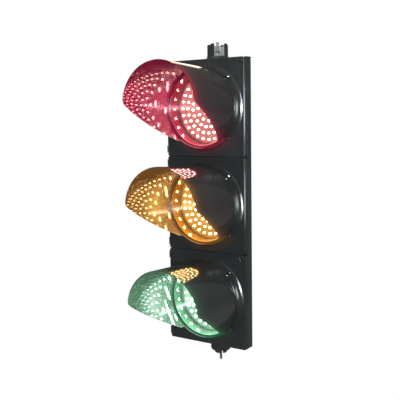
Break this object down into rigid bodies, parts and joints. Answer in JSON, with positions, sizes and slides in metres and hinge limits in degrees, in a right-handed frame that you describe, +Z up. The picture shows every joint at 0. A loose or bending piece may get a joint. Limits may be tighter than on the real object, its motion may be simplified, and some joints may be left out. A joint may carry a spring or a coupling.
{
  "type": "traffic signal head",
  "caption": "Black vertical traffic signal head with red, amber and green round light-diode aspects, cut-away tunnel visors, hinged doors and tie-rod mounting hubs.",
  "frame": {"origin": "on the tie rod, level with the bracket seats of the bottom hub", "axes": "+Z up along the tie rod, -Y towards the road the lights face, +X towards the door latches"},
  "size_m": [0.365, 0.5, 1.291],
  "materials": {
    "housing_plastic": "glossy black moulded polycarbonate",
    "door_plastic": "glossy black moulded polycarbonate",
    "visor_plastic": "glossy black moulded polycarbonate, mirror-smooth",
    "shell_plastic": "matt black",
    "hub_plastic": "semi-matt black",
    "latch_plastic": "glossy black",
    "seal_rubber": "matt black",
    "stainless": "bright stainless steel",
    "spring_steel": "spring steel",
    "zinc_steel": "zinc plated",
    "cast_alloy": "die-cast",
    "lens_red": "clear tinted polycarbonate",
    "lens_amber": "clear tinted polycarbonate",
    "lens_green": "clear tinted polycarbonate",
    "board_red": "solder-masked circuit board",
    "board_amber": "solder-masked circuit board",
    "board_green": "solder-masked circuit board",
    "glow_red": "lit diode lens",
    "glow_amber": "lit diode lens",
    "glow_green": "lit diode lens",
    "driver_board": "assembled circuit board",
    "terminal_plastic": "ivory",
    "terminal_brass": "plain brass",
    "wire_sheath": "matt cable sheath"
  },
  "bodies": {
    "hardware": {"hub_top": "hub_plastic", "hub_bottom": "hub_plastic", "hub_core": "cast_alloy", "hub_seals": "seal_rubber", "tie_rod": "zinc_steel", "rod_nuts": "zinc_steel", "rod_washers": "zinc_steel"},
    "head": {"housing_red": "housing_plastic", "door_gasket_red": "seal_rubber", "hinge_pins_red": "stainless", "housing_amber": "housing_plastic", "door_gasket_amber": "seal_rubber", "hinge_pins_amber": "stainless", "housing_green": "housing_plastic", "door_gasket_green": "seal_rubber", "hinge_pins_green": "stainless", "couplings": "housing_plastic", "coupling_nuts": "housing_plastic", "terminal_block": "terminal_plastic", "terminal_screws": "terminal_brass", "wire_harness": "wire_sheath", "power_cable": "wire_sheath", "cable_gland": "shell_plastic"},
    "red_door": {"door_red": "door_plastic", "visor_red": "visor_plastic", "visor_screws_red": "stainless", "lens_red": "lens_red", "lens_gasket_red": "seal_rubber", "lens_clips_red": "spring_steel", "module_shell_red": "shell_plastic", "led_board_red": "board_red", "leds_red": "glow_red", "driver_red": "driver_board"},
    "red_upper_latch": {"latch_red_upper": "latch_plastic"},
    "red_lower_latch": {"latch_red_lower": "latch_plastic"},
    "amber_door": {"door_amber": "door_plastic", "visor_amber": "visor_plastic", "visor_screws_amber": "stainless", "lens_amber": "lens_amber", "lens_gasket_amber": "seal_rubber", "lens_clips_amber": "spring_steel", "module_shell_amber": "shell_plastic", "led_board_amber": "board_amber", "leds_amber": "glow_amber", "driver_amber": "driver_board"},
    "amber_upper_latch": {"latch_amber_upper": "latch_plastic"},
    "amber_lower_latch": {"latch_amber_lower": "latch_plastic"},
    "green_door": {"door_green": "door_plastic", "visor_green": "visor_plastic", "visor_screws_green": "stainless", "lens_green": "lens_green", "lens_gasket_green": "seal_rubber", "lens_clips_green": "spring_steel", "module_shell_green": "shell_plastic", "led_board_green": "board_green", "leds_green": "glow_green", "driver_green": "driver_board"},
    "green_upper_latch": {"latch_green_upper": "latch_plastic"},
    "green_lower_latch": {"latch_green_lower": "latch_plastic"}
  },
  "joints": [
    {"name": "head_aim", "type": "hinge", "parent": "hardware", "child": "head", "pos_m": [0, 0, 0.626], "axis": [0, 0, 1], "range_deg": [-90, 90]},
    {"name": "red_door_hinge", "type": "hinge", "parent": "head", "child": "red_door", "pos_m": [-0.179, -0.096, 1.001], "axis": [0, 0, -1], "range_deg": [0, 110]},
    {"name": "red_upper_latch_turn", "type": "hinge", "parent": "red_door", "child": "red_upper_latch", "pos_m": [0.169, -0.1, 1.1695], "axis": [0, -1, 0], "range_deg": [0, 90]},
    {"name": "red_lower_latch_turn", "type": "hinge", "parent": "red_door", "child": "red_lower_latch", "pos_m": [0.169, -0.1, 0.8325], "axis": [0, -1, 0], "range_deg": [0, 90]},
    {"name": "amber_door_hinge", "type": "hinge", "parent": "head", "child": "amber_door", "pos_m": [-0.179, -0.096, 0.626], "axis": [0, 0, -1], "range_deg": [0, 110]},
    {"name": "amber_upper_latch_turn", "type": "hinge", "parent": "amber_door", "child": "amber_upper_latch", "pos_m": [0.169, -0.1, 0.7945], "axis": [0, -1, 0], "range_deg": [0, 90]},
    {"name": "amber_lower_latch_turn", "type": "hinge", "parent": "amber_door", "child": "amber_lower_latch", "pos_m": [0.169, -0.1, 0.4575], "axis": [0, -1, 0], "range_deg": [0, 90]},
    {"name": "green_door_hinge", "type": "hinge", "parent": "head", "child": "green_door", "pos_m": [-0.179, -0.096, 0.251], "axis": [0, 0, -1], "range_deg": [0, 110]},
    {"name": "green_upper_latch_turn", "type": "hinge", "parent": "green_door", "child": "green_upper_latch", "pos_m": [0.169, -0.1, 0.4195], "axis": [0, -1, 0], "range_deg": [0, 90]},
    {"name": "green_lower_latch_turn", "type": "hinge", "parent": "green_door", "child": "green_lower_latch", "pos_m": [0.169, -0.1, 0.0825], "axis": [0, -1, 0], "range_deg": [0, 90]}
  ]
}
